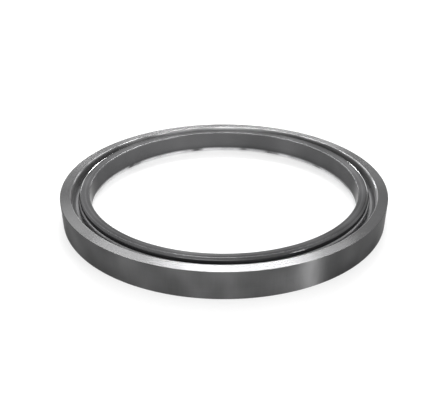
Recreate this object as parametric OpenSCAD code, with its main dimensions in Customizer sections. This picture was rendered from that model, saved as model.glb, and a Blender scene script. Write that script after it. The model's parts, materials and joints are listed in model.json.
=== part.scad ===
// Radial shaft seal for a wheel hub. A turned steel case presses into the hub, a moulded
// sealing lip is bonded inside the case, and a garter spring in the groove behind the lip's
// head holds the lip on the shaft. Every piece is a body of revolution about Z.
// The base of the case stands on z = 0 and the spring side faces up.

/* [Case] */
// Height of the case
height = 12; // [10.5:0.5:20]
// Radial thickness of the case's outer wall
case_wall = 5; // [2:0.25:6]
// Thickness of the flange at the bottom of the case
flange_t = 2; // [1:0.25:3]
// How far the flange reaches in from the inner face of the wall
flange_w = 4; // [2:0.25:5]
// Radial width of the bevel between the top land and the inner face of the wall
bevel_w = 0.6; // [0.2:0.05:1.5]
// Height of that bevel
bevel_h = 1.2; // [0.2:0.05:2]
// Broken edge on the outside of the case, top and bottom
edge_break = 0.15; // [0.05:0.05:0.6]

/* [Sealing lip] */
// Diameter of the free lip, a little under that of its 125 mm shaft
lip_d = 124.2; // [110:0.1:140]
// Radial width of the lip's head, from the bore to the edge over the spring
head_w = 4.5; // [3.8:0.1:5]
// How far the head's top falls from its outer edge to the bore
crown_drop = 0.54; // [0.2:0.02:0.9]
// Radius of the crown over the head's top
crown_r = 51; // [20:1:100]
// Rounding on the outer edge of the head
head_round = 0.3; // [0.1:0.05:0.6]
// Rounding between the top of the head and the bore
bore_round = 0.45; // [0.1:0.05:0.9]
// Radial thickness of the neck under the spring groove
neck_t = 3.7; // [3:0.1:4.2]
// Clear width between the lip's head and the case
groove_w = 3.4; // [2.6:0.1:6]
// Depth of the web between lip and case, below the top
web_depth = 5.85; // [5.5:0.05:7.5]
// Fillet between the neck and the web
web_fillet = 0.7; // [0.3:0.05:1]
// Fillet between the web and the case
wall_fillet = 1.75; // [0.5:0.05:2]
// Thickness of the elastomer at the upper edge of that fillet
wall_skin = 0.15; // [0.05:0.05:0.4]
// Depth at which the bore starts to open towards the bottom
lead_depth = 8.85; // [6:0.05:9.5]
// How far the bore opens by the bottom, along the radius
lead_w = 1.3; // [0.5:0.1:2]
// How far the bottom of the lip stays above the base of the case
bottom_clear = 0.75; // [0:0.05:0.8]

/* [Garter spring] */
// Outside diameter of the spring's coil
spring_d = 2.7; // [2:0.1:3]
// Depth of the coil's centre below the top
spring_depth = 3.7; // [3:0.05:4]
// How far the coil's centre stays in from the outer edge of the head
spring_set_in = 0.5; // [0:0.1:0.8]
// Gap between the coil and its groove
spring_gap = 0.05; // [0.02:0.01:0.2]

/* [Hidden] */
$fn = 120;

// The radial sizes follow each other from the bore outwards.
lip_r = lip_d / 2;
neck_r = lip_r + neck_t;
head_r = lip_r + head_w;
wall_r = head_r + groove_w;
flange_r = wall_r - flange_w;
outer_r = wall_r + case_wall;

web_z = height - web_depth;
lead_z = height - lead_depth;

spring_r = head_r - spring_set_in;
spring_z = height - spring_depth;
groove_radius = spring_d / 2 + spring_gap;

// The crown passes through the head's outer corner and, lower by its drop, the corner over
// the bore. The roundings of both corners touch it from inside.
half_chord = [head_w, crown_drop] / 2;
crown_sink = sqrt(pow(crown_r, 2) - pow(norm(half_chord), 2)) / norm(half_chord);
crown_c = [head_r, height] - half_chord + crown_sink * [half_chord.y, -half_chord.x];

// Case: an L section, the outer wall with the flange under it.
module case_section() {
    polygon([
        [flange_r, 0],
        [outer_r - edge_break, 0],
        [outer_r, edge_break],
        [outer_r, height - edge_break],
        [outer_r - edge_break, height],
        [wall_r + bevel_w, height],
        [wall_r, height - bevel_h],
        [wall_r, flange_t],
        [flange_r, flange_t],
    ]);
}

// What a rounding takes off one corner of the head. The rounding's centre lies at a given
// radius, and the corner lies beyond it, outwards (+1) or inwards (-1).
module head_corner(radius, centre_r, way) {
    rise = sqrt(pow(crown_r - radius, 2) - pow(centre_r - crown_c.x, 2));
    centre = [centre_r, crown_c.y + rise];
    to_crown = (centre - crown_c) / norm(centre - crown_c);
    difference() {
        polygon([
            centre,
            centre + head_w * [way, 0],
            centre + head_w * [way, 1],
            centre + head_w * to_crown,
        ]);
        translate(centre) circle(radius);
    }
}

// The head and the neck, crowned and rounded on top.
module head_section() {
    difference() {
        intersection() {
            translate([lip_r, bottom_clear]) square([head_w, height - bottom_clear]);
            translate(crown_c) circle(crown_r);
        }
        head_corner(head_round, head_r - head_round, 1);
        head_corner(bore_round, lip_r + bore_round, -1);
        translate([neck_r, 0]) square([head_w, spring_z]);
    }
}

// The foot: the web out to the case and the root round the flange.
module foot_section() {
    polygon([
        [lip_r, bottom_clear],
        [flange_r, bottom_clear],
        [flange_r, flange_t],
        [wall_r, flange_t],
        [wall_r, web_z],
        [lip_r, web_z],
    ]);
}

// The fillets on both sides of the web, on the neck and on the case.
module fillet_section() {
    difference() {
        translate([neck_r, web_z]) square(web_fillet);
        translate([neck_r + web_fillet, web_z + web_fillet]) circle(web_fillet);
    }
    skin_r = wall_r - wall_skin;
    difference() {
        translate([skin_r - wall_fillet, web_z]) square([wall_fillet + wall_skin, wall_fillet]);
        translate([skin_r - wall_fillet, web_z + wall_fillet]) circle(wall_fillet);
    }
}

// The bore opens in a cone from the lead's depth to the bottom of the lip.
module lead_section() {
    polygon([
        [lip_r, lead_z],
        [lip_r + lead_w, bottom_clear],
        [lip_r, bottom_clear],
    ]);
}

module case() {
    color([0.55, 0.55, 0.56]) rotate_extrude() case_section();
}

module sealing_lip() {
    color([0.38, 0.38, 0.39]) rotate_extrude() difference() {
        union() {
            head_section();
            foot_section();
            fillet_section();
        }
        translate([spring_r, spring_z]) circle(groove_radius);
        lead_section();
    }
}

// The close-wound coil of the spring, joined end to end into a ring.
module garter_spring() {
    color([0.7, 0.7, 0.71]) rotate_extrude() translate([spring_r, spring_z]) circle(spring_d / 2);
}

case();
sealing_lip();
garter_spring();
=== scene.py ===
"""Looks of a wheel seal: a turned steel case, a moulded sealing lip and a garter spring.

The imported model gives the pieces' places and main sizes. Each piece is worked out again as a
fine surface of revolution (the spring as its real coil), takes the place of its CAD node and
gets a procedural finish. Lengths are in metres, with +Z up and the seal's base on z = 0.
"""

from __future__ import annotations

import json
import logging
import math
from dataclasses import dataclass
from enum import Enum
from typing import Any

import bpy
import numpy as np
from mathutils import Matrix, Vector

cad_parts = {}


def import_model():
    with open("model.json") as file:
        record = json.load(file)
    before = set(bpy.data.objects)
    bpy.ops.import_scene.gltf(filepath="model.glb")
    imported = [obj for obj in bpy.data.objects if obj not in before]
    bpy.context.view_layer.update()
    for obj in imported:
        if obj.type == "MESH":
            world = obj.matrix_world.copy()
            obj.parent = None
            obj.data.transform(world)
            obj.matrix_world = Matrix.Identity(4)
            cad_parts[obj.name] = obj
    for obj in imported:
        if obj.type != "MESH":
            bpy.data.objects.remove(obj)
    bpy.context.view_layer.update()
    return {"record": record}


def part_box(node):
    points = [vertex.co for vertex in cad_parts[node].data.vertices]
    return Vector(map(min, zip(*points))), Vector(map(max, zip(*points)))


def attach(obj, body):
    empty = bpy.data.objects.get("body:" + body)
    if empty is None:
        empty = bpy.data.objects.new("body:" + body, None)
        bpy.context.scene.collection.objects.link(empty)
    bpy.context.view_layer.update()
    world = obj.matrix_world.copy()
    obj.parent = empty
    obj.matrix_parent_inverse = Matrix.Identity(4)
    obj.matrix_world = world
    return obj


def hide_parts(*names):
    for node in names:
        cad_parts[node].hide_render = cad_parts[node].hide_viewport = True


MM = 0.001
FULL_TURN = 2.0 * math.pi

# A ring is made of this many copies of its section, and its edges stay sharp above this angle.
TURNS = 720
CREASE = math.radians(30.0)

# A face longer than four strips gets one strip of this width at each of its ends.
STRIP = 0.05 * MM
LONG_FACE = 4.0 * STRIP

ROOT_BODY = "root"

Pair = tuple[float, float]
log = logging.getLogger("wheel_seal")


class Operation(Enum):
    """The operations of the Math nodes behind a Value's operators."""

    ADD = "ADD"
    SUBTRACT = "SUBTRACT"
    MULTIPLY = "MULTIPLY"
    DIVIDE = "DIVIDE"
    POWER = "POWER"


class Value:
    """A shader socket that Python's operators turn into Math nodes."""

    def __init__(self, graph: Graph, socket: bpy.types.NodeSocket) -> None:
        """Keep the graph and the output socket that gives the value."""
        self.graph = graph
        self.socket = socket

    def _math(self, operation: Operation, first: Value | float, second: Value | float) -> Value:
        """Add one Math node on two values or numbers."""
        return self.graph.node("ShaderNodeMath", {0: first, 1: second}, operation=operation.value)

    def __add__(self, other: Value | float) -> Value:
        """self + other."""
        return self._math(Operation.ADD, self, other)

    def __radd__(self, other: float) -> Value:
        """other + self."""
        return self._math(Operation.ADD, other, self)

    def __sub__(self, other: Value | float) -> Value:
        """self - other."""
        return self._math(Operation.SUBTRACT, self, other)

    def __rsub__(self, other: float) -> Value:
        """other - self."""
        return self._math(Operation.SUBTRACT, other, self)

    def __mul__(self, other: Value | float) -> Value:
        """self * other."""
        return self._math(Operation.MULTIPLY, self, other)

    def __rmul__(self, other: float) -> Value:
        """other * self."""
        return self._math(Operation.MULTIPLY, other, self)

    def __truediv__(self, other: Value | float) -> Value:
        """self / other."""
        return self._math(Operation.DIVIDE, self, other)

    def __pow__(self, other: float) -> Value:
        """self to the power of other."""
        return self._math(Operation.POWER, self, other)

    def ramp(self, low: float, high: float) -> Value:
        """0 below low, 1 above high and a smooth rise between them.

        Args:
            low: where the rise starts.
            high: where it ends; below low for a fall instead.

        Returns:
            The share, from 0 to 1.
        """
        if low > high:
            return 1.0 - self.ramp(high, low)
        return self.graph.node(
            "ShaderNodeMapRange",
            {"Value": self, "From Min": low, "From Max": high},
            interpolation_type="SMOOTHSTEP",
        )

    def edge(self, place: float, offsets: Pair) -> Value:
        """A ramp near a radius or a height.

        Args:
            place: the radius or height.
            offsets: where the share leaves 0 and reaches 1, both counted from the place.

        Returns:
            The share, from 0 to 1.
        """
        return self.ramp(place + offsets[0], place + offsets[1])


class Graph:
    """A node tree under construction."""

    def __init__(self, tree: bpy.types.NodeTree) -> None:
        """Start on an emptied tree."""
        tree.nodes.clear()
        self.tree = tree

    def raw(self, kind: str, inputs: dict[int | str, Any], **settings: Any) -> bpy.types.Node:
        """Add a node.

        Args:
            kind: the node's type name.
            inputs: input name or index to the Value that feeds it, or to its constant.
            settings: the node's own properties.

        Returns:
            The node.
        """
        node = self.tree.nodes.new(kind)
        for key, setting in settings.items():
            setattr(node, key, setting)
        for key, given in inputs.items():
            if isinstance(given, Value):
                self.tree.links.new(given.socket, node.inputs[key])
            else:
                node.inputs[key].default_value = given
        return node

    def node(self, kind: str, inputs: dict[int | str, Any], **settings: Any) -> Value:
        """Add a node and wrap its first output.

        Args:
            kind: the node's type name.
            inputs: input name or index to the Value that feeds it, or to its constant.
            settings: the node's own properties.

        Returns:
            The output as a Value.
        """
        return Value(self, self.raw(kind, inputs, **settings).outputs[0])

    def tint(self, tone: Value, blue: float) -> Value:
        """A grey of this tone, with its blue multiplied a little."""
        return self.node("ShaderNodeCombineColor", {0: tone, 1: tone, 2: tone * blue})

    def bump(self, relief: Value) -> Value:
        """The normal that follows a relief in metres."""
        return self.node("ShaderNodeBump", {"Height": relief, "Strength": 1.0, "Distance": 1.0})

    def principled(self, inputs: dict[int | str, Any]) -> None:
        """Give the material a principled shader with these inputs."""
        self.surface(self.node("ShaderNodeBsdfPrincipled", inputs))

    def surface(self, shader: Value) -> None:
        """Send a shader to the material's output."""
        self.raw("ShaderNodeOutputMaterial", {"Surface": shader})


@dataclass(frozen=True)
class Grain:
    """A noise pattern on the ring.

    It has about `around` cells for each radian round the ring, and `across` cells for each
    metre along the radius and the height. `detail` counts its octaves, and `seed` shifts it.
    """

    around: float
    across: float
    detail: float
    seed: float


@dataclass(frozen=True)
class RingPoint:
    """Where a shaded point lies on the ring, for patterns that follow its turning."""

    graph: Graph
    across: Value
    height: Value
    cosine: Value
    sine: Value

    @classmethod
    def of(cls, graph: Graph) -> RingPoint:
        """Read the point from Object coordinates.

        Args:
            graph: the material's graph.

        Returns:
            Its radius, its height and the cosine and sine of its angle.
        """
        coords = graph.raw("ShaderNodeTexCoord", {}).outputs["Object"]
        split = graph.raw("ShaderNodeSeparateXYZ", {0: Value(graph, coords)})
        x, y, z = (Value(graph, socket) for socket in split.outputs)
        radius = (x * x + y * y) ** 0.5
        return cls(graph, radius, z, x / radius, y / radius)

    def band(self, radius: float, half_width: float) -> Value:
        """A soft band round the ring.

        Args:
            radius: where the band is strongest.
            half_width: how far from there it ends.

        Returns:
            The band's share, 1 in its middle and 0 outside.
        """
        rise = self.across.ramp(radius - half_width, radius)
        return rise * self.across.ramp(radius + half_width, radius)

    def noise(self, grain: Grain) -> Value:
        """Noise stretched along or across the turning.

        Args:
            grain: its pattern.

        Returns:
            The noise, from 0 to 1 and mostly near 0.5.
        """
        place = self.graph.node(
            "ShaderNodeCombineXYZ",
            {
                0: self.cosine * grain.around,
                1: self.sine * grain.around,
                2: self.across * grain.across + grain.seed,
            },
        )
        return self.graph.node(
            "ShaderNodeTexNoise",
            {"Vector": place, "W": self.height * grain.across, "Scale": 1.0, "Detail": grain.detail},
            noise_dimensions="4D",
        )

    def sway(self, grain: Grain) -> Value:
        """The noise about zero, from -0.5 to 0.5."""
        return self.noise(grain) - 0.5


def blend(low: Value | float, high: float, share: Value) -> Value:
    """low where the share is 0, high where it is 1, and a mix between."""
    return low + (high - low) * share


def opaque(grey: float) -> tuple[float, float, float, float]:
    """A grey as an opaque colour."""
    return (grey, grey, grey, 1.0)


def new_material(name: str) -> tuple[bpy.types.Material, Graph]:
    """Start a material with an empty graph.

    Args:
        name: the material's name.

    Returns:
        The material and its graph.
    """
    material = bpy.data.materials.new(name)
    material.use_nodes = True
    return material, Graph(material.node_tree)


@dataclass(frozen=True)
class TurnedSteel:
    """Bare dark steel off the lathe: turned rings, faint cross marks and soft patches.

    Three regions follow each other inwards. The outer wall has small spots. The land on
    top is ground finer and carries soft clouds of painted light and shade. The inner edge
    is a lighter grey with streaks, both painted highlight. From there down, the inner face
    carries painted shade and painted light from one noise, on a less metallic surface.
    A pair such as `ground_edge` says where a region starts and where it is full, both
    counted from its radius. `edge_grey` tints the metal at grazing angles. The shader's
    tangent runs along the axis, and `marks_turn` lays the brushing round the ring.
    """

    wall_r: float
    outer_r: float
    bevel_w: float
    name: str = "turned_steel"
    grey: float = 0.098
    ground_grey: float = 0.15
    # The inner edge and the inner face get a lighter grey, painted light.
    inner_grey: float = 0.27
    blue: float = 1.01
    edge_grey: float = 0.48
    roughness: float = 0.36
    ground_roughness: float = 0.23
    inner_roughness: float = 0.32
    anisotropy: float = 0.95
    marks_turn: float = 0.25
    ground_edge: Pair = (-0.1 * MM, -0.2 * MM)
    inner_edge: Pair = (0.02 * MM, -0.02 * MM)
    # Where the inner face's painted shade and light starts and where it is full.
    film_edge: Pair = (0.14 * MM, 0.06 * MM)
    rings: Grain = Grain(1.5, 5200.0, 3.0, 3.1)
    ring_height: float = 0.6e-6
    cross: Grain = Grain(130.0, 160.0, 2.0, 8.7)
    cross_height: float = 0.4e-6
    cross_in_roughness: float = 0.15
    marks_in_tone: float = 0.16
    patches: Grain = Grain(3.0, 25.0, 1.5, 65.75)
    patchiness: float = 1.5
    ground_patchiness: float = 0.3
    patches_in_roughness: float = 0.12
    spots: Grain = Grain(6.0, 60.0, 1.5, 31.75)
    spottiness: float = 1.2
    # Soft clouds of painted light and shade on the land.
    clouds: Grain = Grain(2.5, 25.0, 1.5, 105.5)
    cloudiness: float = 1.1
    # Streaks of painted highlight on the inner edge.
    highlight_streaks: Grain = Grain(6.0, 25.0, 1.5, 87.5)
    highlight_streakiness: float = 3.0
    # A noise of painted shade and light on the inner face, with the share that also goes on the inner
    # edge. The face is also made less metallic.
    edge_share_of_painted_tone: float = 0.35
    painted_noise: Grain = Grain(2.0, 25.0, 1.5, 131.25)
    painted_noise_levels: Pair = (0.4, 0.7)
    painted_light_gain: float = 1.4
    film_loss: float = 0.58
    film_share: float = 0.7

    def build(self) -> bpy.types.Material:
        """Make the material.

        Returns:
            A metal whose colour, roughness and bump follow the turning.
        """
        material, graph = new_material(self.name)
        point = RingPoint.of(graph)
        rings = point.sway(self.rings)
        cross = point.sway(self.cross)
        patches = point.sway(self.patches)
        ground = point.across.edge(self.outer_r, self.ground_edge)
        inner = point.across.edge(self.wall_r + self.bevel_w, self.inner_edge)
        # The inner face's share, which carries painted shade and light.
        film = point.across.edge(self.wall_r, self.film_edge)
        patchiness = blend(self.patchiness, self.ground_patchiness, ground)
        marks = 1.0 + patchiness * patches + self.marks_in_tone * (rings + cross)
        fineness = blend(self.roughness, self.ground_roughness, ground)
        fineness = blend(fineness, self.inner_roughness, inner)
        unevenness = 1.0 + self.patches_in_roughness * patches + self.cross_in_roughness * cross
        graph.principled({
            "Base Color": graph.tint(self._tone(point, ground, inner, film) * marks, self.blue),
            "Metallic": 1.0 - self.film_share * film,
            "Roughness": fineness * unevenness,
            "Specular Tint": opaque(self.edge_grey),
            "Anisotropic": self.anisotropy,
            "Anisotropic Rotation": self.marks_turn,
            "Normal": graph.bump(self.ring_height * rings + self.cross_height * cross),
        })
        return material

    def _tone(self, point: RingPoint, ground: Value, inner: Value, film: Value) -> Value:
        """The regions' greys with their spots and their painted light and shade: clouds, streaks and the
        inner face's noise.

        Args:
            point: the shaded point.
            ground: share of the ground land and all inside it.
            inner: share of the inner edge and the inner face.
            film: share of the inner face, which carries painted shade and light.

        Returns:
            The grey.
        """
        # Streaks of painted highlight on the inner edge, and clouds of painted light and shade on the
        # land.
        highlight_streaks = self.highlight_streakiness * point.sway(self.highlight_streaks)
        clouds = self.cloudiness * point.sway(self.clouds)
        spots = self.spottiness * point.sway(self.spots)
        # Painted shade and light on the inner face: darker where the noise is low and lighter where it is
        # high. Some of it goes on the inner edge too.
        worn = self.painted_light_gain * point.noise(self.painted_noise).ramp(*self.painted_noise_levels) - self.film_loss
        sheen = inner * (1.0 - film) * (highlight_streaks + self.edge_share_of_painted_tone * worn) + film * worn
        base = blend(blend(self.grey, self.ground_grey, ground), self.inner_grey, inner)
        return base * (1.0 + sheen + (ground - inner) * clouds + (1.0 - ground) * spots)


@dataclass(frozen=True)
class MouldedElastomer:
    """Smooth grey moulded elastomer with a satin sheen and a faint mould grain.

    In the groove it has painted light: a paler grey, rougher and less metallic. Pale patches
    of painted reflection lie on the cone that opens the bore. The head carries painted light
    and shade: a lighter crown with clouds, a thin painted highlight line round it, and a band
    of painted shade outside that. Each pair of offsets says where a region starts and where
    it is full, both counted from its radius or height.
    """

    neck_r: float
    groove_top: float
    line_r: float
    lead_top: float
    top: float
    name: str = "moulded_elastomer"
    grey: float = 0.084
    blue: float = 1.02
    edge_grey: float = 0.5
    roughness: float = 0.14
    metallic: float = 0.85
    ior: float = 1.42
    # The groove's painted light: a paler grey on a less metallic surface.
    film_grey: float = 0.17
    film_metallic: float = 0.25
    film_edge: Pair = (-0.6 * MM, -0.4 * MM)
    film_depth: Pair = (0.0, -0.5 * MM)
    # Pale patches of painted reflection on the cone that opens the bore.
    painted_reflection: Grain = Grain(7.0, 25.0, 1.5, 125.5)
    painted_reflection_levels: Pair = (0.22, 0.6)
    painted_reflection_depth: Pair = (0.0, -2.2 * MM)
    painted_reflection_grey: float = 0.80
    # The crown's painted light and shade: clouds and a lighter tone.
    clouds: tuple[Grain, Grain] = (Grain(2.0, 25.0, 1.5, 30.5), Grain(2.0, 25.0, 1.5, 4.75))
    cloudiness: float = 1.6
    crown_depth: Pair = (-1.3 * MM, -0.9 * MM)
    crown_gain: float = 0.32
    # A thin painted highlight line round the head, and a band of painted shade outside it.
    line_w: float = 0.6 * MM
    line_gain: float = 0.45
    shade_offset: float = 1.55 * MM
    shade_w: float = 0.4 * MM
    shade_loss: float = 0.55
    rim_edge: Pair = (-1.3 * MM, -1.6 * MM)
    patches: Grain = Grain(3.0, 25.0, 1.5, 15.0)
    patchiness: float = 0.9
    patches_in_roughness: float = 0.30
    flow: Grain = Grain(22.0, 420.0, 3.0, 6.1)
    flow_share: float = 0.10
    flow_height: float = 1.5e-6

    def build(self) -> bpy.types.Material:
        """Make the material.

        Returns:
            A glossy dark surface with soft variation, rougher in the groove and at the bore.
        """
        material, graph = new_material(self.name)
        point = RingPoint.of(graph)
        patches = point.sway(self.patches)
        flow = point.sway(self.flow)
        # The groove's share, which gets painted light.
        groove = point.across.edge(self.neck_r, self.film_edge)
        film = groove * point.height.edge(self.groove_top, self.film_depth)
        # Pale patches of painted reflection on the cone that opens the bore.
        lead = point.height.edge(self.lead_top, self.painted_reflection_depth)
        painted_reflection = lead * point.noise(self.painted_reflection).ramp(*self.painted_reflection_levels)
        crown = point.height.edge(self.top, self.crown_depth)
        rim = point.across.edge(self.line_r, self.rim_edge) * crown
        base = self.grey + (self.film_grey - self.grey) * film + (self.painted_reflection_grey - self.grey) * painted_reflection
        tone = base * self._painted_head_tone(point, crown)
        tone = tone * (1.0 + self.patchiness * patches + self.flow_share * flow)
        unevenness = 1.0 + self.patches_in_roughness * patches + self.flow_share * flow
        graph.principled({
            "Base Color": graph.tint(tone, self.blue),
            "Metallic": blend(self.metallic, self.film_metallic, film) - self.metallic * painted_reflection,
            "Roughness": self.roughness * unevenness * (1.0 + film + rim),
            "IOR": self.ior,
            "Specular Tint": opaque(self.edge_grey),
            "Normal": graph.bump(self.flow_height * flow),
        })
        return material

    def _painted_head_tone(self, point: RingPoint, crown: Value) -> Value:
        """What the head's painted light and shade multiply the tone by: the crown's clouds, a painted
        highlight line and a band of painted shade outside it.

        Args:
            point: the shaded point.
            crown: share of the head's crown.

        Returns:
            The factor, 1 away from the head.
        """
        clouds = self.crown_gain + self.cloudiness * sum(point.sway(grain) for grain in self.clouds)
        line = point.band(self.line_r, self.line_w)
        shade = point.band(self.line_r + self.shade_offset, self.shade_w)
        return 1.0 + clouds * crown + self.line_gain * line - self.shade_loss * shade


@dataclass(frozen=True)
class SpringWire:
    """Bright drawn wire with a little darkening between patches."""

    name: str = "spring_wire"
    grey: float = 0.30
    blue: float = 1.01
    roughness: float = 0.42
    patches: Grain = Grain(14.0, 300.0, 2.0, 4.4)
    patchiness: float = 0.4

    def build(self) -> bpy.types.Material:
        """Make the material.

        Returns:
            A bright metal with soft variation.
        """
        material, graph = new_material(self.name)
        variation = 1.0 + self.patchiness * RingPoint.of(graph).sway(self.patches)
        graph.principled({
            "Base Color": graph.tint(self.grey * variation, self.blue),
            "Metallic": 1.0,
            "Roughness": self.roughness * variation,
        })
        return material


@dataclass(frozen=True)
class PaleFloor:
    """A plain white floor that takes the seal's soft shadow.

    Its glow is only for the Light Path node's rays that `seen_by` names. It shows as white
    to the camera and in the metal, and adds nothing to the light on matt surfaces.
    """

    name: str = "pale_floor"
    diffuse: float = 0.60
    glow: float = 0.40
    seen_by: tuple[str, ...] = ("Camera", "Glossy", "Transmission")

    def build(self) -> bpy.types.Material:
        """Make the material.

        Returns:
            A matt white with enough glow of its own to stay a white ground.
        """
        material, graph = new_material(self.name)
        matt = graph.node("ShaderNodeBsdfDiffuse", {"Color": opaque(self.diffuse)})
        rays = graph.raw("ShaderNodeLightPath", {}).outputs
        seen = sum(Value(graph, rays[f"Is {kind} Ray"]) for kind in self.seen_by)
        glow = graph.node("ShaderNodeEmission", {"Color": opaque(1.0), "Strength": seen * self.glow})
        graph.surface(graph.node("ShaderNodeAddShader", {0: matt, 1: glow}))
        return material


def arc(centre: Pair, radius: float, start: float, end: float, steps: int) -> np.ndarray:
    """Points on a circular arc: centre + radius * (cos t, sin t), with t from start to end.

    Args:
        centre: the arc's centre in the section, as (r, z).
        radius: its radius.
        start: the first angle in degrees, from the +r direction towards +z.
        end: the last angle in degrees.
        steps: how many straight steps make the arc.

    Returns:
        An array of steps + 1 points.
    """
    angle = np.radians(np.linspace(start, end, steps + 1))
    return np.stack([centre[0] + radius * np.cos(angle), centre[1] + radius * np.sin(angle)], axis=-1)


def supported(outline: np.ndarray) -> np.ndarray:
    """Put a narrow strip at each end of every long straight face, so that it shades flat.

    Args:
        outline: the points of a closed section.

    Returns:
        The section with two more points on each of its long faces.
    """
    step = np.roll(outline, -1, axis=0) - outline
    length = np.linalg.norm(step, axis=1, keepdims=True)
    strip = STRIP * step / length
    rows = np.stack([outline, outline + strip, outline + step - strip], axis=1)
    long_face = length[:, 0] > LONG_FACE
    keep = np.stack([np.ones_like(long_face), long_face, long_face], axis=1)
    return rows[keep]


def round_the_circle(count: int) -> np.ndarray:
    """Evenly spaced angles in radians, once round and without the last one."""
    return np.linspace(0.0, FULL_TURN, count, endpoint=False)


def grid_faces(rows: int, columns: int) -> np.ndarray:
    """Quads of a grid that closes both ways, ordered so that they face outwards.

    Args:
        rows: points along the first parameter.
        columns: points along the second parameter.

    Returns:
        An array of quads.
    """
    row, column = np.meshgrid(np.arange(rows), np.arange(columns), indexing="ij")
    here, ahead = row * columns, (row + 1) % rows * columns
    beside = (column + 1) % columns
    return np.stack([here + column, ahead + column, ahead + beside, here + beside], axis=-1)


def add_object(name: str, data: bpy.types.ID) -> bpy.types.Object:
    """Put an object into the scene.

    Args:
        name: the object's name.
        data: its mesh, lamp or camera.

    Returns:
        The object, at the origin.
    """
    added = bpy.data.objects.new(name, data)
    bpy.context.scene.collection.objects.link(added)
    return added


def add_mesh(name: str, points: np.ndarray, faces: np.ndarray, crease: float) -> bpy.types.Object:
    """Put computed points and quads into a mesh object at the origin.

    Args:
        name: the object's name.
        points: an array of points, three numbers each.
        faces: an array of quads, four point numbers each.
        crease: the angle in radians above which an edge stays sharp.

    Returns:
        The object, smooth between its creases.
    """
    mesh = bpy.data.meshes.new(name)
    mesh.from_pydata(points.reshape(-1, 3).tolist(), [], faces.reshape(-1, 4).tolist())
    mesh.polygons.foreach_set("use_smooth", np.ones(len(mesh.polygons), dtype=bool))
    mesh.set_sharp_from_angle(angle=crease)
    mesh.update()
    return add_object(name, mesh)


def turned(name: str, outline: np.ndarray) -> bpy.types.Object:
    """A closed outline carried once round Z: x = r cos t, y = r sin t, z = z.

    Args:
        name: the object's name.
        outline: the section's points (r, z), anticlockwise.

    Returns:
        The ring.
    """
    angle = round_the_circle(TURNS)[:, None]
    radius, height = outline.T[:, None, :]
    points = np.broadcast_arrays(radius * np.cos(angle), radius * np.sin(angle), height)
    return add_mesh(name, np.stack(points, axis=-1), grid_faces(TURNS, len(outline)), CREASE)


def settle(piece: bpy.types.Object, node: str, material: bpy.types.Material) -> bpy.types.Object:
    """Finish a piece and let it stand for its CAD node.

    Args:
        piece: the new piece.
        node: the CAD node that it replaces.
        material: its finish.

    Returns:
        The piece.
    """
    piece.data.materials.append(material)
    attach(piece, ROOT_BODY)
    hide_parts(node)
    log.info("%s stands for %s: %d faces", piece.name, node, len(piece.data.polygons))
    return piece


@dataclass(frozen=True)
class Sizes:
    """The seal's main sizes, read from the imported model.

    The flange is hidden inside, so its thickness and width are those of the source.
    """

    outer_r: float
    height: float
    wall_r: float
    lip_r: float
    spring_r: float
    spring_z: float
    coil_r: float
    flange_t: float = 2.0 * MM
    flange_w: float = 4.0 * MM

    @classmethod
    def of(cls, record: dict[str, Any]) -> Sizes:
        """Read the sizes.

        Args:
            record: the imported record, for the bore's radius.

        Returns:
            The sizes in metres.
        """
        case_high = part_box("case")[1]
        lip_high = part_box("sealing_lip")[1]
        coil_low, coil_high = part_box("garter_spring")
        bore = next(mount for mount in record["mounts"] if mount["name"] == "shaft_bore")
        coil_r = (coil_high.z - coil_low.z) / 2
        return cls(
            outer_r=case_high.x,
            height=case_high.z,
            wall_r=lip_high.x,
            lip_r=bore["dims"]["r_mm"] * MM,
            spring_r=coil_high.x - coil_r,
            spring_z=(coil_high.z + coil_low.z) / 2,
            coil_r=coil_r,
        )

    @property
    def flange_r(self) -> float:
        """Radius of the flange's inner edge."""
        return self.wall_r - self.flange_w


@dataclass(frozen=True)
class Case:
    """The turned steel case, an L section."""

    sizes: Sizes
    bevel_w: float = 0.6 * MM
    bevel_h: float = 1.2 * MM
    bevel_steps: int = 8
    edge_break: float = 0.15 * MM
    break_steps: int = 4

    def outline(self) -> np.ndarray:
        """The section: straight faces joined by small roundings.

        Returns:
            The points (r, z), anticlockwise from the flange's inner edge at the base.
        """
        sizes = self.sizes
        inset = self.edge_break
        corner_r, corner_z = sizes.outer_r - inset, sizes.height - inset
        corners = np.concatenate([
            [(sizes.flange_r, 0.0)],
            arc((corner_r, inset), inset, -90, 0, self.break_steps),
            arc((corner_r, corner_z), inset, 0, 90, self.break_steps),
            self._inner_edge(),
            [(sizes.wall_r, sizes.flange_t), (sizes.flange_r, sizes.flange_t)],
        ])
        return supported(corners)

    def _inner_edge(self) -> np.ndarray:
        """The bevel with its soft corners: a quarter of an ellipse from the land to the wall.

        With t from 0 to a right angle, r = wall + w (1 - sin t) and z = top - h (1 - cos t).

        Returns:
            The points, from the land down to the inner face.
        """
        angle = np.radians(np.linspace(0.0, 90.0, self.bevel_steps + 1))
        radius = self.sizes.wall_r + self.bevel_w * (1 - np.sin(angle))
        height = self.sizes.height - self.bevel_h * (1 - np.cos(angle))
        return np.stack([radius, height], axis=-1)

    def build(self) -> bpy.types.Object:
        """Make the case and finish it.

        Returns:
            The piece that stands for the CAD node.
        """
        piece = turned("case_turned", self.outline())
        steel = TurnedSteel(self.sizes.wall_r, self.sizes.outer_r, self.bevel_w)
        return settle(piece, "case", steel.build())


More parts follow.
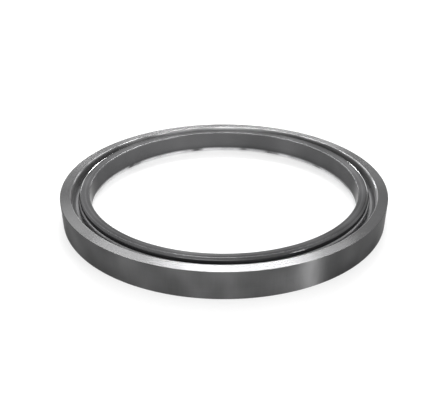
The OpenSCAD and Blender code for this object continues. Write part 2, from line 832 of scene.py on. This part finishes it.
@dataclass(frozen=True)
class SealingLip:
    """The moulded lip: head, spring groove, neck, web, root and bore.

    Its last size is how far the painted highlight line on the head lies out from the bore.
    """

    sizes: Sizes
    head_w: float = 4.6 * MM
    head_round: float = 1.2 * MM
    head_steps: int = 6
    crown_r: float = 51.0 * MM
    crown_drop: float = 0.54 * MM
    crown_steps: int = 16
    bore_round: float = 0.45 * MM
    bore_steps: int = 8
    neck_t: float = 3.7 * MM
    spring_gap: float = 0.05 * MM
    groove_steps: int = 30
    web_depth: float = 5.85 * MM
    web_fillet: float = 0.7 * MM
    wall_fillet: float = 1.75 * MM
    wall_skin: float = 0.15 * MM
    fillet_steps: int = 10
    lead_depth: float = 8.85 * MM
    lead_w: float = 1.3 * MM
    bottom_clear: float = 0.75 * MM
    # How far the painted highlight line on the head lies out from the bore.
    highlight_line_offset: float = 1.8 * MM

    def outline(self) -> np.ndarray:
        """The section, with true roundings, crown, groove and fillet.

        Returns:
            The points (r, z), anticlockwise from the bottom of the opened bore.
        """
        sizes = self.sizes
        neck_r = sizes.lip_r + self.neck_t
        web_z = sizes.height - self.web_depth
        skin_r = sizes.wall_r - self.wall_skin
        neck_fillet, wall_fillet = self.web_fillet, self.wall_fillet
        groove = sizes.coil_r + self.spring_gap
        hook_turn = math.degrees(math.acos((sizes.lip_r + self.head_w - sizes.spring_r) / groove))
        neck_turn = 360 - math.degrees(math.acos((neck_r - sizes.spring_r) / groove))
        corners = np.concatenate([
            [(sizes.lip_r + self.lead_w, self.bottom_clear), (sizes.flange_r, self.bottom_clear)],
            [(sizes.flange_r, sizes.flange_t), (sizes.wall_r, sizes.flange_t)],
            [(sizes.wall_r, web_z + wall_fillet)],
            arc((skin_r - wall_fillet, web_z + wall_fillet), wall_fillet, 0, -90, self.fillet_steps),
            arc((neck_r + neck_fillet, web_z + neck_fillet), neck_fillet, -90, -180, self.fillet_steps),
            arc((sizes.spring_r, sizes.spring_z), groove, neck_turn, hook_turn, self.groove_steps),
            self._head_top(),
            [(sizes.lip_r, sizes.height - self.lead_depth)],
        ])
        return supported(corners)

    def _head_top(self) -> np.ndarray:
        """The head's outer rounding, its crown and the rounding into the bore.

        The crown passes through the head's outer corner and, lower by its drop, the corner
        over the bore. The roundings touch it from inside.

        Returns:
            The points, from the outer face to the bore.
        """
        bore_r = self.sizes.lip_r
        half = np.array([self.head_w, self.crown_drop]) / 2
        span = np.linalg.norm(half)
        sink = math.sqrt(self.crown_r**2 - span**2)
        corner = np.array([bore_r, self.sizes.height - self.crown_drop])
        crown = tuple(corner + half + sink * np.array([half[1], -half[0]]) / span)
        outer, outer_turn = self._rounding(crown, bore_r + self.head_w - self.head_round, self.head_round)
        inner, inner_turn = self._rounding(crown, bore_r + self.bore_round, self.bore_round)
        return np.concatenate([
            arc(outer, self.head_round, 0, outer_turn, self.head_steps),
            arc(crown, self.crown_r, outer_turn, inner_turn, self.crown_steps)[1:],
            arc(inner, self.bore_round, inner_turn, 180, self.bore_steps)[1:],
        ])

    def _rounding(self, crown: Pair, centre_r: float, radius: float) -> tuple[Pair, float]:
        """Set a rounding against the inside of the crown.

        Args:
            crown: centre (r, z) of the crown's arc.
            centre_r: how far from the axis the rounding's centre lies.
            radius: the rounding's own radius.

        Returns:
            The rounding's centre (r, z), and the angle in degrees where it touches the crown.
        """
        run = centre_r - crown[0]
        rise = math.sqrt((self.crown_r - radius) ** 2 - run**2)
        return (centre_r, crown[1] + rise), math.degrees(math.atan2(rise, run))

    def build(self) -> bpy.types.Object:
        """Make the lip and finish it.

        Returns:
            The piece that stands for the CAD node.
        """
        piece = turned("sealing_lip_moulded", self.outline())
        sizes = self.sizes
        elastomer = MouldedElastomer(
            neck_r=sizes.lip_r + self.neck_t,
            groove_top=sizes.spring_z,
            line_r=sizes.lip_r + self.highlight_line_offset,
            lead_top=sizes.height - self.lead_depth,
            top=sizes.height,
        )
        return settle(piece, "sealing_lip", elastomer.build())


@dataclass(frozen=True)
class GarterSpring:
    """The close-wound coil, joined end to end into a ring."""

    sizes: Sizes
    wire_d: float = 0.5 * MM
    steps_a_winding: int = 12
    wire_sides: int = 6
    crease: float = math.radians(75.0)

    def points(self) -> np.ndarray:
        """The wire's surface, one row of points round the wire for each step along it.

        The wire's middle runs round a circle in the section while the section runs round
        Z. A point of the wire lies off that middle by the wire's radius, along two
        directions square to the wire.

        Returns:
            An array of points by step, side and coordinate.
        """
        wire_r = self.wire_d / 2
        wind_r = self.sizes.coil_r - wire_r
        ring_r = self.sizes.spring_r
        windings = int(FULL_TURN * ring_r / self.wire_d)
        angle = round_the_circle(windings * self.steps_a_winding)[:, None]
        level = np.zeros_like(angle)
        out = np.stack([np.cos(angle), np.sin(angle), level], axis=-1)
        along = np.stack([-np.sin(angle), np.cos(angle), level], axis=-1)
        up = np.array([0.0, 0.0, 1.0])
        phase = windings * angle[..., None]
        off = np.cos(phase) * out + np.sin(phase) * up
        swing = -np.sin(phase) * out + np.cos(phase) * up
        middle = ring_r * out + wind_r * off + self.sizes.spring_z * up
        advance = (ring_r + wind_r * np.cos(phase)) * along + windings * wind_r * swing
        side = np.cross(off, advance / np.linalg.norm(advance, axis=-1, keepdims=True))
        turn = round_the_circle(self.wire_sides)[None, :, None]
        return middle + wire_r * (np.cos(turn) * off + np.sin(turn) * side)

    def build(self) -> bpy.types.Object:
        """Make the coil and finish it.

        Returns:
            The piece that stands for the CAD node.
        """
        points = self.points()
        faces = grid_faces(len(points), self.wire_sides)
        piece = add_mesh("garter_spring_coil", points, faces, self.crease)
        return settle(piece, "garter_spring", SpringWire().build())


@dataclass(frozen=True)
class Softbox:
    """A rectangular lamp that faces the seal.

    Its azimuth in degrees is measured from behind the seal, +Y, towards +X, and its
    elevation from the floor.
    """

    name: str
    azimuth: float
    elevation: float
    distance: float
    width: float
    height: float
    radiance: float

    def build(self) -> bpy.types.Object:
        """Make the lamp, with the power of its radiance: power = pi * area * radiance.

        Returns:
            The lamp, turned to the seal's middle.
        """
        lamp = bpy.data.lights.new(self.name, "AREA")
        lamp.shape = "RECTANGLE"
        lamp.size = self.width
        lamp.size_y = self.height
        lamp.energy = math.pi * self.width * self.height * self.radiance
        around, up = math.radians(self.azimuth), math.radians(self.elevation)
        level = math.cos(up)
        place = Vector((math.sin(around) * level, math.cos(around) * level, math.sin(up))) * self.distance
        holder = add_object(self.name, lamp)
        holder.location = place
        holder.rotation_euler = (-place).to_track_quat("-Z", "Y").to_euler()
        return holder


# Each lamp's name, azimuth, elevation, distance, width, height and radiance.
LAMPS = (
    # Behind and high: the bright band across the front of the land, and its softer left.
    Softbox("back_high", 3.0, 48.0, 1.5, 0.42, 0.18, 15.0),
    Softbox("back_middle", 3.0, 48.0, 1.55, 0.70, 0.19, 13.0),
    Softbox("back_wide", 0.0, 45.0, 1.6, 1.24, 0.23, 11.0),
    Softbox("back_left", -26.0, 32.0, 1.5, 0.56, 0.26, 1.6),
    # Behind and low: the lip's rims and outer edge, with a glint at each side.
    Softbox("back_low", 0.0, 15.5, 1.5, 0.85, 0.20, 1.7),
    Softbox("left_rim", -33.0, 6.0, 1.5, 0.30, 0.16, 6.5),
    Softbox("right_rim", 33.0, 6.0, 1.5, 0.30, 0.16, 7.0),
    Softbox("left_edge", -29.0, 13.5, 1.5, 0.30, 0.18, 6.0),
    Softbox("right_edge", 30.0, 13.5, 1.5, 0.30, 0.18, 6.0),
    Softbox("left_glint", -23.5, 4.5, 1.5, 0.17, 0.11, 72.0),
    Softbox("right_glint", 25.5, 4.5, 1.5, 0.13, 0.11, 44.0),
    # In front: the back of the land, and the outer wall with the streak at its right.
    Softbox("front_fill", 180.0, 35.0, 1.5, 1.0, 0.20, 6.0),
    Softbox("right_low", 127.0, 7.0, 1.5, 0.24, 0.30, 44.0),
    Softbox("front_low", -170.0, 8.0, 1.5, 1.30, 0.25, 4.7),
)


@dataclass(frozen=True)
class Studio:
    """Floor, world, lamps and camera.

    The camera stands in front of the seal. From the middle of the top, it has a distance
    counted in outside radii and an elevation, and it looks down by its pitch. Both angles
    are in degrees.
    """

    sizes: Sizes
    lamps: tuple[Softbox, ...] = LAMPS
    floor_side: float = 4.0
    image_width: float = 448.0
    sensor: float = 36.0
    focal_pixels: float = 548.3
    clip_start: float = 0.01
    camera_distance: float = 3.455
    camera_elevation: float = 25.805
    camera_pitch: float = 28.74

    def build(self) -> None:
        """Make everything round the seal and set the scene's camera."""
        self._floor()
        self._world()
        for lamp in self.lamps:
            lamp.build()
        self._camera()

    def _floor(self) -> None:
        """A square of pale floor under the seal."""
        half = self.floor_side / 2
        corners = np.array([(-half, -half, 0), (half, -half, 0), (half, half, 0), (-half, half, 0)])
        floor = add_mesh("floor", corners, np.arange(4), CREASE)
        floor.data.materials.append(PaleFloor().build())

    def _world(self) -> None:
        """An even white world of strength 1."""
        world = bpy.data.worlds.new("white_room")
        world.use_nodes = True
        graph = Graph(world.node_tree)
        sky = graph.node("ShaderNodeBackground", {"Color": opaque(1.0), "Strength": 1.0})
        graph.raw("ShaderNodeOutputWorld", {"Surface": sky})
        bpy.context.scene.world = world

    def _camera(self) -> None:
        """The camera, at the photograph's viewing angle."""
        camera = bpy.data.cameras.new("camera")
        camera.sensor_width = self.sensor
        camera.lens = self.focal_pixels * self.sensor / self.image_width
        camera.clip_start = self.clip_start
        reach = self.camera_distance * self.sizes.outer_r
        up = math.radians(self.camera_elevation)
        holder = add_object("camera", camera)
        holder.location = (0.0, -reach * math.cos(up), self.sizes.height + reach * math.sin(up))
        holder.rotation_euler = (math.radians(90.0 - self.camera_pitch), 0.0, 0.0)
        bpy.context.scene.camera = holder


def main() -> None:
    """Build the seal piece by piece, then the studio round it."""
    logging.basicConfig(level=logging.INFO, format="%(name)s: %(message)s")
    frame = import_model()
    sizes = Sizes.of(frame["record"])
    Studio(sizes).build()
    for sub_assembly in (Case(sizes), SealingLip(sizes), GarterSpring(sizes)):
        sub_assembly.build()
    bpy.context.scene.view_settings.view_transform = "Standard"


if __name__ == "__main__":
    main()
